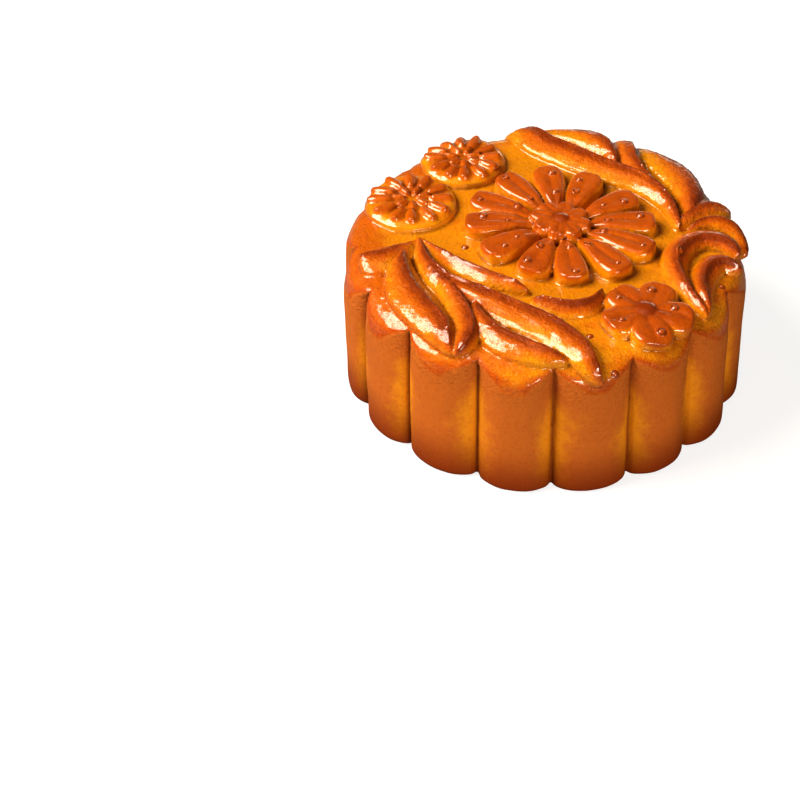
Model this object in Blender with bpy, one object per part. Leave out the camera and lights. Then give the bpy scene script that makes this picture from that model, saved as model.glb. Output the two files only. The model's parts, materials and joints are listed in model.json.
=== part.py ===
"""A whole baked mooncake: a fluted cake of sixteen lobes with a moulded crown.

The cake stands on its flat base at z = 0, with its axis on +Z. The crown carries a big
flower of two rings of petals, a small round blossom, two blossom medallions, two leaf sprays
that face each other across the cake, a curled leaf and a group of crescent leaves. The
crown's pieces are drawn flat, in millimetres, and wrapped over the shoulder; all of them are
united with the cake, because the real one is pressed from a single lump of dough.
"""

import math

import bmesh
import bpy
from mathutils import Vector

MM = 0.001

# The fluted wall
LOBES = 16
STEPS_PER_LOBE = 8
CREST_RADIUS = 40.0
LOBE_ARC_RADIUS = 9.4
BASE_EDGE = 1.2
WAIST = 0.45
FLUTE_FADE_LOW = 24.5
FLUTE_FADE_HIGH = 28.3

# The shoulder and the sunk field between the raised pieces
FIELD_HEIGHT = 29.3
SHOULDER_START = 22.8
FLAT_RADIUS = 33.0
SHOULDER_ROUNDNESS = 2.4
SHOULDER_STEPS = 5
SHOULDER_RUN = 0.83
LARGEST_TURN = 0.98

# How the baked cake settled: it leans sideways, and its far side stands higher
FAR_SIDE = (-0.556, 0.831)
LEAN = (-0.5, -0.33)
FAR_GAIN = 0.5

# The raised pieces: their height, how their tips run out and how deep they root in the cake
RELIEF = 2.6
RELIEF_LEFT_AT_WALL = 0.15
TIP_INSET = 0.012
TIP_HEIGHT = 0.35
FULL_HEIGHT_GAIN = 1.5
ROOT_DEPTH = 2.0
ROOT_SPREAD = 1.6
ROOT_STEPS = 37
LEAF_STATIONS = 12
PETAL_STATIONS = 6
FINE_STATIONS = 5

# Half sections of raised pieces: (place across the half width, share of the full height)
RIDGED = ((-0.98, 0.42), (-0.62, 0.82), (0.22, 1.0), (0.98, 0.48))
FLAT_TOPPED = ((-0.97, 0.55), (-0.6, 1.0), (0.6, 1.0), (0.97, 0.55))
ROUNDED = ((-0.98, 0.4), (-0.5, 0.92), (0.5, 0.92), (0.98, 0.4))

# Leaves of a spray, round its centre: spine, width, where it is widest and how full it is
NEAR_CENTRE = (0.1, 2.9)
FAR_CENTRE = (-0.9, 1.6)
SPRAY = {
    "long": dict(
        spine=((-21, -16), (-15, -22), (-8, -25), (0, -25), (8, -25.3), (15, -25.6), (20.5, -27),
               (25, -29.2), (29.5, -31.6)),
        width=7.4, belly=0.56, fullness=0.5),
    "fork": dict(
        spine=((-14, -23.5), (-6, -27.5), (-1.6, -30.9), (2, -34.6), (3.2, -37.2), (2.9, -40.2)),
        width=4.6, belly=0.5, fullness=0.7),
    "low": dict(
        spine=((-20.8, -21.2), (-18, -26.2), (-13.6, -30.7), (-8.6, -33.6), (-3.6, -36),
               (0.2, -38.4), (2.8, -40.6)),
        width=8.0, belly=0.45, fullness=0.7),
    "outer": dict(
        spine=((-1, -27), (2.7, -30.5), (7.4, -32.6), (12.9, -33), (17.4, -32.2), (21.8, -31)),
        width=6.6, belly=0.5, fullness=0.6),
    "base": dict(
        spine=((-20.9, -15.9), (-22, -21.4), (-23, -26.4), (-23.8, -31)),
        width=7.6, belly=0.62, fullness=0.6),
}

# Leaves that stand alone
SINGLE_LEAVES = {
    "inner": dict(
        spine=((-20.9, -12.7), (-14.9, -14.9), (-9.9, -15.8), (-3.9, -16.1), (1.1, -15.7), (5.9, -15.4)),
        width=5.2, belly=0.6, fullness=0.65),
    "curled": dict(
        spine=((17.4, -7.4), (17.8, -11.2), (15.6, -14.9), (11.6, -16.6), (7.6, -17.2)),
        width=4.2, belly=0.5, fullness=0.6),
    "crescent_large": dict(
        spine=((33, 17.4), (28.5, 18.6), (24.6, 16.6), (23.3, 11.5), (25, 6.6), (30, 1.6), (36.8, -2.8)),
        width=6.0, belly=0.42, fullness=0.55),
    "crescent_small": dict(
        spine=((35.5, 13.6), (31.3, 12.2), (30.6, 8.2), (32.6, 3.2), (36.6, -1.8)),
        width=5.2, belly=0.42, fullness=0.6),
    "crescent_band": dict(
        spine=((21.8, 17.5), (24.2, 22), (28.6, 23.6), (34, 21)),
        width=5.0, belly=0.55, fullness=0.6, section=ROUNDED),
}

# The big flower, oval: long petals that run in under a small rosette with a button
FLOWER_CENTRE = (0.4, 5.4)
FLOWER_REACH = (19.4, 17.4)
LONG_PETALS = dict(count=12, run=(0.24, 1.0), width=6.7, turn=0.13, belly=0.72, fullness=0.42)
ROSETTE_PETALS = dict(count=8, run=(0.06, 0.31), width=3.7, turn=0.3, belly=0.62, fullness=0.42, lift=3.1)
FLOWER_BUTTON = ((1.7, 3.0), (0.9, 3.5))

# The round blossom near the edge
BLOSSOM_CENTRE = (27.4, -9.4)
BLOSSOM_REACH = (8.4, 8.4)
BLOSSOM_PETALS = dict(count=5, run=(0.12, 1.0), width=8.0, turn=0.4, belly=0.62, fullness=0.42)
BLOSSOM_BUTTON = ((2.4, 2.6), (1.2, 3.1))

# The two medallions: a disc with a fine blossom of narrow petals
MEDALLIONS = {"low": ((-28.2, -4.2), 9.0), "high": ((-27.2, 13.4), 8.4)}
MEDALLION_DISC = ((1.0, 0.9), (0.88, 1.5), (0.6, 1.6))
MEDALLION_BUTTON = ((0.2, 2.3), (0.1, 2.8))
MEDALLION_PETALS = dict(count=12, run=(0.32, 0.9), width=2.9, turn=0.1, belly=0.62, fullness=0.5, lift=2.5)

SHARP_ANGLE = math.radians(35.0)
CRUST_COLOUR = (0.53, 0.17, 0.03, 1.0)
CRUST_ROUGHNESS = 0.38


def clear_scene():
    for old in list(bpy.data.objects):
        bpy.data.objects.remove(old, do_unlink=True)


def crust_material():
    material = bpy.data.materials.new("baked_crust")
    material.use_nodes = True
    shader = material.node_tree.nodes["Principled BSDF"]
    shader.inputs["Base Color"].default_value = CRUST_COLOUR
    shader.inputs["Roughness"].default_value = CRUST_ROUGHNESS
    shader.inputs["Metallic"].default_value = 0.0
    return material


def smooth_step(value, low, high):
    share = min(max((value - low) / (high - low), 0.0), 1.0)
    return share * share * (3.0 - 2.0 * share)


def flute_depth(angle):
    """How far the wall stands inside the crest circle: lobes are arcs that meet in valleys."""
    pitch = math.tau / LOBES
    off_crest = (angle + pitch / 2.0) % pitch - pitch / 2.0
    arc_centre = CREST_RADIUS - LOBE_ARC_RADIUS
    side = arc_centre * math.sin(off_crest)
    reach = arc_centre * math.cos(off_crest) + math.sqrt(LOBE_ARC_RADIUS**2 - side**2)
    return CREST_RADIUS - reach


def wall_radius(angle, height):
    """The wall at an angle and height: rounded at its foot, slightly drawn in above."""
    drawn_in = WAIST * smooth_step(height, 2.0, 16.0)
    foot = max(BASE_EDGE - height, 0.0)
    rounding = BASE_EDGE - math.sqrt(BASE_EDGE**2 - foot**2)
    fluting = 1.0 - smooth_step(height, FLUTE_FADE_LOW, FLUTE_FADE_HIGH)
    return CREST_RADIUS - drawn_in - rounding - fluting * flute_depth(angle)


def shoulder_point(turn):
    """Share of the shoulder's width and of its rise, for a turn of 0 (flat) to 1 (wall)."""
    slope = turn * math.pi / 2.0
    power = 2.0 / SHOULDER_ROUNDNESS
    return math.sin(slope) ** power, math.cos(slope) ** power


def cake_sections():
    """Outlines of the plain cake from its base to the edge of the flat field."""
    corners = LOBES * STEPS_PER_LOBE
    angles = [math.tau * step / corners for step in range(corners)]
    sections = []
    for height in (0.0, 0.35, BASE_EDGE, 6.0, 12.0, 18.0, SHOULDER_START):
        radii = [wall_radius(angle, height) for angle in angles]
        sections.append(ring(angles, radii, height))
    for step in range(1, SHOULDER_STEPS + 1):
        share, rise_share = shoulder_point(1.0 - step / SHOULDER_STEPS)
        height = SHOULDER_START + (FIELD_HEIGHT - SHOULDER_START) * max(rise_share, 0.0)
        radii = [FLAT_RADIUS + share * (wall_radius(a, height) - FLAT_RADIUS) for a in angles]
        sections.append(ring(angles, radii, height))
    return sections


def ring(angles, radii, height):
    return [
        Vector((radius * math.cos(angle), radius * math.sin(angle), height))
        for angle, radius in zip(angles, radii)
    ]


def wrapped(x, y, lift):
    """A point drawn flat at (x, y), laid over the field and shoulder and lifted off them."""
    reach = math.hypot(x, y)
    heading = math.atan2(y, x)
    width = CREST_RADIUS - WAIST - FLAT_RADIUS
    rise = FIELD_HEIGHT - SHOULDER_START
    turn = min(max((reach - FLAT_RADIUS) / (SHOULDER_RUN * (width + rise)), 0.0), LARGEST_TURN)
    share, rise_share = shoulder_point(turn)
    slope = turn * math.pi / 2.0
    outward = Vector((math.sin(slope) / width, math.cos(slope) / rise)).normalized()
    if lift > 0.0:
        lift *= 1.0 - (1.0 - RELIEF_LEFT_AT_WALL) * turn**2
    radius = min(reach, FLAT_RADIUS) + width * share + lift * outward.x
    height = SHOULDER_START + rise * rise_share + lift * outward.y
    return Vector((radius * math.cos(heading), radius * math.sin(heading), height))


def settled(place):
    """A point of the even cake, moved to where the baked one has it, in metres."""
    share = place.z / FIELD_HEIGHT
    off_centre = (place.x * FAR_SIDE[0] + place.y * FAR_SIDE[1]) / CREST_RADIUS
    gain = FAR_GAIN * (1.0 + off_centre)
    return Vector((place.x + LEAN[0] * share, place.y + LEAN[1] * share, place.z + gain * share)) * MM


def root_depth(name):
    """Roots reach to different depths, so that no two of them share a face in the cake."""
    return ROOT_DEPTH + ROOT_SPREAD * (sum(name.encode()) % ROOT_STEPS) / ROOT_STEPS


def solid_through(name, sections, material):
    """A closed solid: a face on the first outline, extruded through all the others."""
    mesh = bpy.data.meshes.new(name)
    bm = bmesh.new()
    first = bm.faces.new([bm.verts.new(settled(place)) for place in sections[0]])
    face = first
    for section in sections[1:]:
        grown = bmesh.ops.extrude_face_region(bm, geom=[face])["geom"]
        passed = face
        face = next(item for item in grown if isinstance(item, bmesh.types.BMFace))
        for vert, place in zip(face.verts, section):
            vert.co = settled(place)
        if passed is not first:
            bmesh.ops.delete(bm, geom=[passed], context="FACES_ONLY")
    bmesh.ops.recalc_face_normals(bm, faces=bm.faces)
    bm.to_mesh(mesh)
    bm.free()
    mesh.materials.append(material)
    mesh.shade_smooth()
    mesh.set_sharp_from_angle(angle=SHARP_ANGLE)
    solid = bpy.data.objects.new(name, mesh)
    bpy.context.scene.collection.objects.link(solid)
    return solid


def along(points, share):
    """A point of the smooth curve through the points, and its heading, at a share of its run."""
    spans = len(points) - 1
    span = min(int(share * spans), spans - 1)
    local = share * spans - span
    before = Vector(points[max(span - 1, 0)])
    start = Vector(points[span])
    end = Vector(points[span + 1])
    after = Vector(points[min(span + 2, spans)])
    lead = (end - before) / 2.0
    trail = (after - start) / 2.0
    square, cube = local**2, local**3
    place = (
        start * (2 * cube - 3 * square + 1)
        + lead * (cube - 2 * square + local)
        + end * (3 * square - 2 * cube)
        + trail * (cube - square)
    )
    heading = (
        start * (6 * square - 6 * local)
        + lead * (3 * square - 4 * local + 1)
        + end * (6 * local - 6 * square)
        + trail * (3 * square - 2 * local)
    )
    return place, heading.normalized()


def blade(name, spine, width, material, belly=0.5, fullness=0.7, lift=RELIEF, section=RIDGED,
          stations=LEAF_STATIONS):
    """A raised leaf or petal along a curved spine, widest at the belly, wrapped on the crown."""
    skew = math.log(0.5) / math.log(belly)
    depth = root_depth(name)
    sections = []
    for station in range(stations):
        run = 0.5 - 0.5 * math.cos(math.pi * station / (stations - 1))
        share = TIP_INSET + (1.0 - 2.0 * TIP_INSET) * run
        spread = math.sin(math.pi * share**skew) ** fullness
        place, heading = along(spine, share)
        across = Vector((-heading.y, heading.x)) * (width / 2.0 * spread)
        rise = lift * (TIP_HEIGHT + (1.0 - TIP_HEIGHT) * min(1.0, FULL_HEIGHT_GAIN * spread))
        outline = [wrapped(*(place - across), -depth)]
        outline += [wrapped(*(place + across * side), rise * share_up) for side, share_up in section]
        outline.append(wrapped(*(place + across), -depth))
        sections.append(outline)
    return solid_through(name, sections, material)


def disc(name, centre, radius, levels, material, corners):
    """A round raised pad or button: rings of (share of the radius, lift) stacked on the crown."""
    turns = [math.tau * step / corners for step in range(corners)]
    sections = []
    for share, lift in ((levels[0][0], -root_depth(name)), *levels):
        sections.append([
            wrapped(centre[0] + radius * share * math.cos(turn),
                    centre[1] + radius * share * math.sin(turn), lift)
            for turn in turns
        ])
    return solid_through(name, sections, material)


def petal_ring(name, centre, reach, material, count, run, width, turn, **style):
    """Petals set evenly round a centre, over a run of shares of an oval's reach."""
    made = []
    for petal in range(count):
        angle = turn + math.tau * petal / count
        outward = Vector((reach[0] * math.cos(angle), reach[1] * math.sin(angle)))
        spine = [Vector(centre) + outward * share for share in run]
        made.append(blade(f"{name}_{petal}", spine, width, material, **style))
    return made


def leaf_spray(name, centre, side, material):
    """Leaves that spring from one node; side -1 turns the spray round its centre."""
    made = []
    for key, leaf in SPRAY.items():
        spine = [Vector(centre) + side * Vector(point) for point in leaf["spine"]]
        made.append(blade(f"{name}_{key}", material=material, **{**leaf, "spine": spine}))
    return made


def single_leaves(material):
    """The leaf and the curled leaf beside the near spray, and the crescents that roll over."""
    made = []
    for key, leaf in SINGLE_LEAVES.items():
        spine = [Vector(point) for point in leaf["spine"]]
        made.append(blade(key, material=material, **{**leaf, "spine": spine}))
    return made


def big_flower(material):
    """The flower in the middle: a ring of long petals, a small rosette and a button."""
    made = petal_ring("long_petal", FLOWER_CENTRE, FLOWER_REACH, material,
                      section=FLAT_TOPPED, stations=PETAL_STATIONS, **LONG_PETALS)
    made += petal_ring("rosette_petal", FLOWER_CENTRE, FLOWER_REACH, material,
                       section=FLAT_TOPPED, stations=FINE_STATIONS, **ROSETTE_PETALS)
    made.append(disc("flower_button", FLOWER_CENTRE, 1.0, FLOWER_BUTTON, material, corners=12))
    return made


def round_blossom(material):
    """The small five-petalled blossom near the edge."""
    made = petal_ring("blossom_petal", BLOSSOM_CENTRE, BLOSSOM_REACH, material,
                      section=FLAT_TOPPED, stations=PETAL_STATIONS, **BLOSSOM_PETALS)
    made.append(disc("blossom_button", BLOSSOM_CENTRE, 1.0, BLOSSOM_BUTTON, material, corners=12))
    return made


def medallion(name, centre, radius, material):
    """A raised disc that carries a fine blossom of narrow petals."""
    made = [disc(f"{name}_disc", centre, radius, MEDALLION_DISC, material, corners=24)]
    made += petal_ring(f"{name}_petal", centre, (radius, radius), material,
                       section=ROUNDED, stations=FINE_STATIONS, **MEDALLION_PETALS)
    made.append(disc(f"{name}_button", centre, radius, MEDALLION_BUTTON, material, corners=10))
    return made


def unite(cake, pieces):
    """Unite every crown piece with the cake in one go, and keep the pieces as guides."""
    crown = bpy.data.collections.new("crown")
    bpy.context.scene.collection.children.link(crown)
    for piece in pieces:
        crown.objects.link(piece)
        bpy.context.scene.collection.objects.unlink(piece)
        piece.hide_render = True
        piece.display_type = "WIRE"
    union = cake.modifiers.new("crown", "BOOLEAN")
    union.operation = "UNION"
    union.solver = "EXACT"
    union.operand_type = "COLLECTION"
    union.collection = crown


def build():
    clear_scene()
    crust = crust_material()
    cake = solid_through("mooncake", cake_sections(), crust)
    for face in cake.data.polygons:
        face.use_smooth = len(face.vertices) == 4
    pieces = leaf_spray("near_spray", NEAR_CENTRE, 1, crust)
    pieces += leaf_spray("far_spray", FAR_CENTRE, -1, crust)
    pieces += single_leaves(crust)
    pieces += big_flower(crust)
    pieces += round_blossom(crust)
    for name, (centre, radius) in MEDALLIONS.items():
        pieces += medallion(name, centre, radius, crust)
    unite(cake, pieces)


build()
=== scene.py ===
"""A whole baked mooncake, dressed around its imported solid.

The cake is pressed from one lump of dough, so the plain cake and every raised leaf, crescent
and blossom are modelled as blanks, laid over the crown, fused into one skin and then baked:
smoothed, made uneven and given its colours. Lengths in the forms below are millimetres.
"""

import json
import math

import bmesh
import bpy
import numpy as np
from bpy.props import FloatProperty, FloatVectorProperty, IntProperty, PointerProperty
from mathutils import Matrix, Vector
from mathutils.bvhtree import BVHTree
from mathutils.kdtree import KDTree

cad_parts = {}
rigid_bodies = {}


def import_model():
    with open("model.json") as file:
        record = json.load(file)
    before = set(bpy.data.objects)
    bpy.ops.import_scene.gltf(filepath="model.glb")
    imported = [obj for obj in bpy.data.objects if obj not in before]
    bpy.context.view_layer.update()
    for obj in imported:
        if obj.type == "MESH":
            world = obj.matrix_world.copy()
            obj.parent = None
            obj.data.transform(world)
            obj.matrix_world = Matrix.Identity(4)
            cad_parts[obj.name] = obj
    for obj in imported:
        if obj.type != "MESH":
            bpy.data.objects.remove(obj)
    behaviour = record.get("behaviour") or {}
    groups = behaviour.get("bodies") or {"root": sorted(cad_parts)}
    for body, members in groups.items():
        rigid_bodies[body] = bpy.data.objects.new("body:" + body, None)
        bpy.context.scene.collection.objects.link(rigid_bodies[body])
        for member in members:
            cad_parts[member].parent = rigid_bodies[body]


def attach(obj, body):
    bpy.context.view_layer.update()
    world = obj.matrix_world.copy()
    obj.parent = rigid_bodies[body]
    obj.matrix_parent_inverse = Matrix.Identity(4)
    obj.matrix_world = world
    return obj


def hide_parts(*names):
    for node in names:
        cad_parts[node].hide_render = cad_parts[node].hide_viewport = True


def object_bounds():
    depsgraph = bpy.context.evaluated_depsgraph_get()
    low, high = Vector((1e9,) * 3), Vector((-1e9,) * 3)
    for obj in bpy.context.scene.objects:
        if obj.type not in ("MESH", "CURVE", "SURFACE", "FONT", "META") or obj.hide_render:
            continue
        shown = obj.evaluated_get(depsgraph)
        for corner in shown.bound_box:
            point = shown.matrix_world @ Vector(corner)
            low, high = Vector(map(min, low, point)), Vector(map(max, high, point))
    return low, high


bl_info = {
    "name": "Baked mooncake",
    "version": (1, 0, 0),
    "blender": (4, 5, 0),
    "location": "View3D > Sidebar > Mooncake",
    "description": "Models a fluted mooncake with a moulded crown of leaves and blossoms",
    "category": "Add Mesh",
}

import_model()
CAD_BOX = [list(corner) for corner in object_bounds()]

MM = 0.001
NODE = "mooncake"
BODY = "root"

# The settled cake: its far side stands higher, and it leans a little
FAR_SIDE = np.array((-0.556, 0.831))
LEAN = np.array((-0.5, -0.33))
FAR_GAIN = 0.5
BULGE_ANGLE = math.radians(214.0)

# Where the crown's groups stand
NEAR_CENTRE = np.array((0.1, 2.9))
FAR_CENTRE = np.array((-0.9, 1.6))
FLOWER_CENTRE = np.array((0.4, 5.4))
FLOWER_REACH = np.array((19.4, 17.4))
BLOSSOM_CENTRE = np.array((27.4, -9.4))
MEDALLIONS = {"low": (np.array((-28.2, -4.2)), 9.0), "high": (np.array((-27.2, 13.4)), 8.4)}

LEAVES = {
    "long": dict(
        spine=((-21, -16), (-15, -22), (-8, -25), (0, -25), (8, -25.3), (15, -25.6), (20.5, -27),
               (25, -29.2), (29.5, -31.6)),
        width=7.6, belly=0.56, fullness=0.5, ridge=(0.42, 0.5)),
    "fork": dict(
        spine=((-14, -23.5), (-6, -27.3), (-1.2, -30.9), (2.2, -34.6), (3.4, -37.4), (3.2, -40.4)),
        width=5.6, belly=0.5, fullness=0.6, ridge=(0.4, 0.55)),
    "low": dict(
        spine=((-20.8, -21.2), (-18, -26.2), (-13.6, -30.7), (-8.6, -33.6), (-3.6, -36),
               (0.2, -38.4), (2.8, -40.6)),
        width=8.0, belly=0.45, fullness=0.7, ridge=(0.3, 0.5)),
    "outer": dict(
        spine=((-1, -27), (2.7, -30.5), (7.4, -32.6), (12.9, -33), (17.4, -32.2), (21.8, -31)),
        width=6.6, belly=0.5, fullness=0.6, ridge=(0.15, 0.3)),
    "base": dict(
        spine=((-20.6, -16.4), (-21.2, -20.6), (-22.4, -24.0), (-24.2, -26.2), (-26.6, -27.2)),
        width=9.0, belly=0.62, fullness=0.62, ridge=(0.4, 0.2), lift=0.75, steep_side=-1.0),
}

SINGLE_LEAVES = {
    "inner": dict(
        spine=((-20.9, -12.7), (-14.9, -14.9), (-9.9, -15.8), (-3.9, -16.1), (1.1, -15.7),
               (5.9, -15.4)),
        width=5.4, belly=0.6, fullness=0.65, ridge=(0.1, 0.0)),
    "curled": dict(
        spine=((17.4, -7.4), (17.8, -11.2), (15.6, -14.9), (11.6, -16.6), (7.6, -17.2)),
        width=4.4, belly=0.5, fullness=0.6, ridge=(0.0, 0.0)),
    "large": dict(
        spine=((33, 17.4), (28.5, 18.6), (24.6, 16.6), (23.3, 11.5), (25, 6.6), (30, 1.6),
               (36.8, -2.8)),
        width=6.2, belly=0.42, fullness=0.55, ridge=(0.35, 0.2)),
    "small": dict(
        spine=((35.5, 13.6), (31.3, 12.2), (30.6, 8.2), (32.6, 3.2), (36.6, -1.8)),
        width=5.4, belly=0.42, fullness=0.6, ridge=(0.3, 0.1)),
    "band": dict(
        spine=((21.8, 17.5), (24.2, 22), (28.6, 23.6), (34, 21)),
        width=5.2, belly=0.55, fullness=0.6, ridge=(0.2, 0.2)),
}


# ---------------------------------------------------------------- settings


class CakeSizes(bpy.types.PropertyGroup):
    """Sizes of the plain cake and of what stands on it."""

    crest_radius: FloatProperty(
        name="Crest radius", description="From the axis to the lobes' crests",
        default=(CAD_BOX[1][0] - CAD_BOX[0][0]) / 2.0, unit="LENGTH")
    field_height: FloatProperty(
        name="Field height", description="Height of the sunk field between the raised pieces",
        default=29.3 * MM, unit="LENGTH")
    shoulder_start: FloatProperty(
        name="Shoulder start", description="Height where the wall starts to round over",
        default=22.8 * MM, unit="LENGTH")
    flat_radius: FloatProperty(
        name="Flat radius", description="Radius where the field starts to round down",
        default=33.0 * MM, unit="LENGTH")
    relief: FloatProperty(
        name="Relief", description="Height of the raised pieces above the field",
        default=2.6 * MM, unit="LENGTH")
    waist: FloatProperty(
        name="Waist", description="How far the wall draws in above its foot",
        default=0.45 * MM, unit="LENGTH")
    lobe_arc_radius: FloatProperty(
        name="Lobe arc radius", description="Radius of each lobe's rounding",
        default=9.4 * MM, unit="LENGTH")
    lobes: IntProperty(name="Lobes", description="Lobes round the wall", default=16, min=3)
    grain: FloatProperty(
        name="Grain", description="Mesh size of the fused skin",
        default=0.27 * MM, unit="LENGTH")
    triangles: IntProperty(
        name="Triangles", description="Most triangles in the finished skin",
        default=190000, min=1000)


class CakeColours(bpy.types.PropertyGroup):
    """Colours of the crust, from the sunk field to the brownest edges, with dark browns that are also painted as
    shade in creases, hollows and at the foot.
    """

    field: FloatVectorProperty(
        name="Field", description="Golden colour of the sunk field",
        default=(0.71, 0.285, 0.003), subtype="COLOR", min=0.0, max=1.0)
    amber: FloatVectorProperty(
        name="Amber", description="Orange of the broad faces and of slopes",
        default=(0.60, 0.155, 0.002), subtype="COLOR", min=0.0, max=1.0)
    raised: FloatVectorProperty(
        name="Raised", description="Red-brown of the raised tops",
        default=(0.46, 0.092, 0.002), subtype="COLOR", min=0.0, max=1.0)
    flank: FloatVectorProperty(
        name="Flank", description="Golden tan of the lobes' flanks",
        default=(0.72, 0.285, 0.013), subtype="COLOR", min=0.0, max=1.0)
    wall: FloatVectorProperty(
        name="Wall", description="Orange-brown of the lobes' crests",
        default=(0.53, 0.155, 0.022), subtype="COLOR", min=0.0, max=1.0)
    lip: FloatVectorProperty(
        name="Lip", description="Red-brown of the lobes' upper lip",
        default=(0.46, 0.076, 0.001), subtype="COLOR", min=0.0, max=1.0)
    # Most baked colour, also used as painted shade in hollows and toward the foot.
    browned_and_shade: FloatVectorProperty(
        name="Browned", description="Colour of the most baked places",
        default=(0.24, 0.036, 0.002), subtype="COLOR", min=0.0, max=1.0)
    # Crease colour: painted shade deep in creases and valleys, partly browning.
    crease: FloatVectorProperty(
        name="Crease", description="Dark colour deep in creases and valleys",
        default=(0.14, 0.020, 0.001), subtype="COLOR", min=0.0, max=1.0)


class StageSizes(bpy.types.PropertyGroup):
    """Floor, lights and camera."""

    floor_size: FloatProperty(
        name="Floor size", description="Side of the floor", default=6.0, unit="LENGTH")
    floor_glow: FloatProperty(
        name="Floor glow", description="White that the floor adds in view", default=0.84)
    key_power: FloatProperty(
        name="Key power", description="Power of the main soft box", default=11.0, unit="POWER")
    front_power: FloatProperty(
        name="Front power", description="Power of the low soft box in front", default=6.4, unit="POWER")
    back_power: FloatProperty(
        name="Back power", description="Power of the soft box behind", default=0.8, unit="POWER")
    top_power: FloatProperty(
        name="Top power", description="Power of the soft box overhead", default=0.2, unit="POWER")
    dome: FloatProperty(
        name="Dome", description="Strength of the white surroundings", default=0.12)
    camera_distance: FloatProperty(
        name="Camera distance", description="From the camera to the cake along the view",
        default=0.451, unit="LENGTH")
    camera_turn: FloatProperty(
        name="Camera turn", description="Turn of the camera round the cake",
        default=math.radians(33.75), subtype="ANGLE")
    camera_elevation: FloatProperty(
        name="Camera elevation", description="How far the camera looks down",
        default=math.radians(40.7), subtype="ANGLE")


# ---------------------------------------------------------------- forms


def smooth_step(value, low, high):
    share = np.clip((value - low) / (high - low), 0.0, 1.0)
    return share * share * (3.0 - 2.0 * share)


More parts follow.
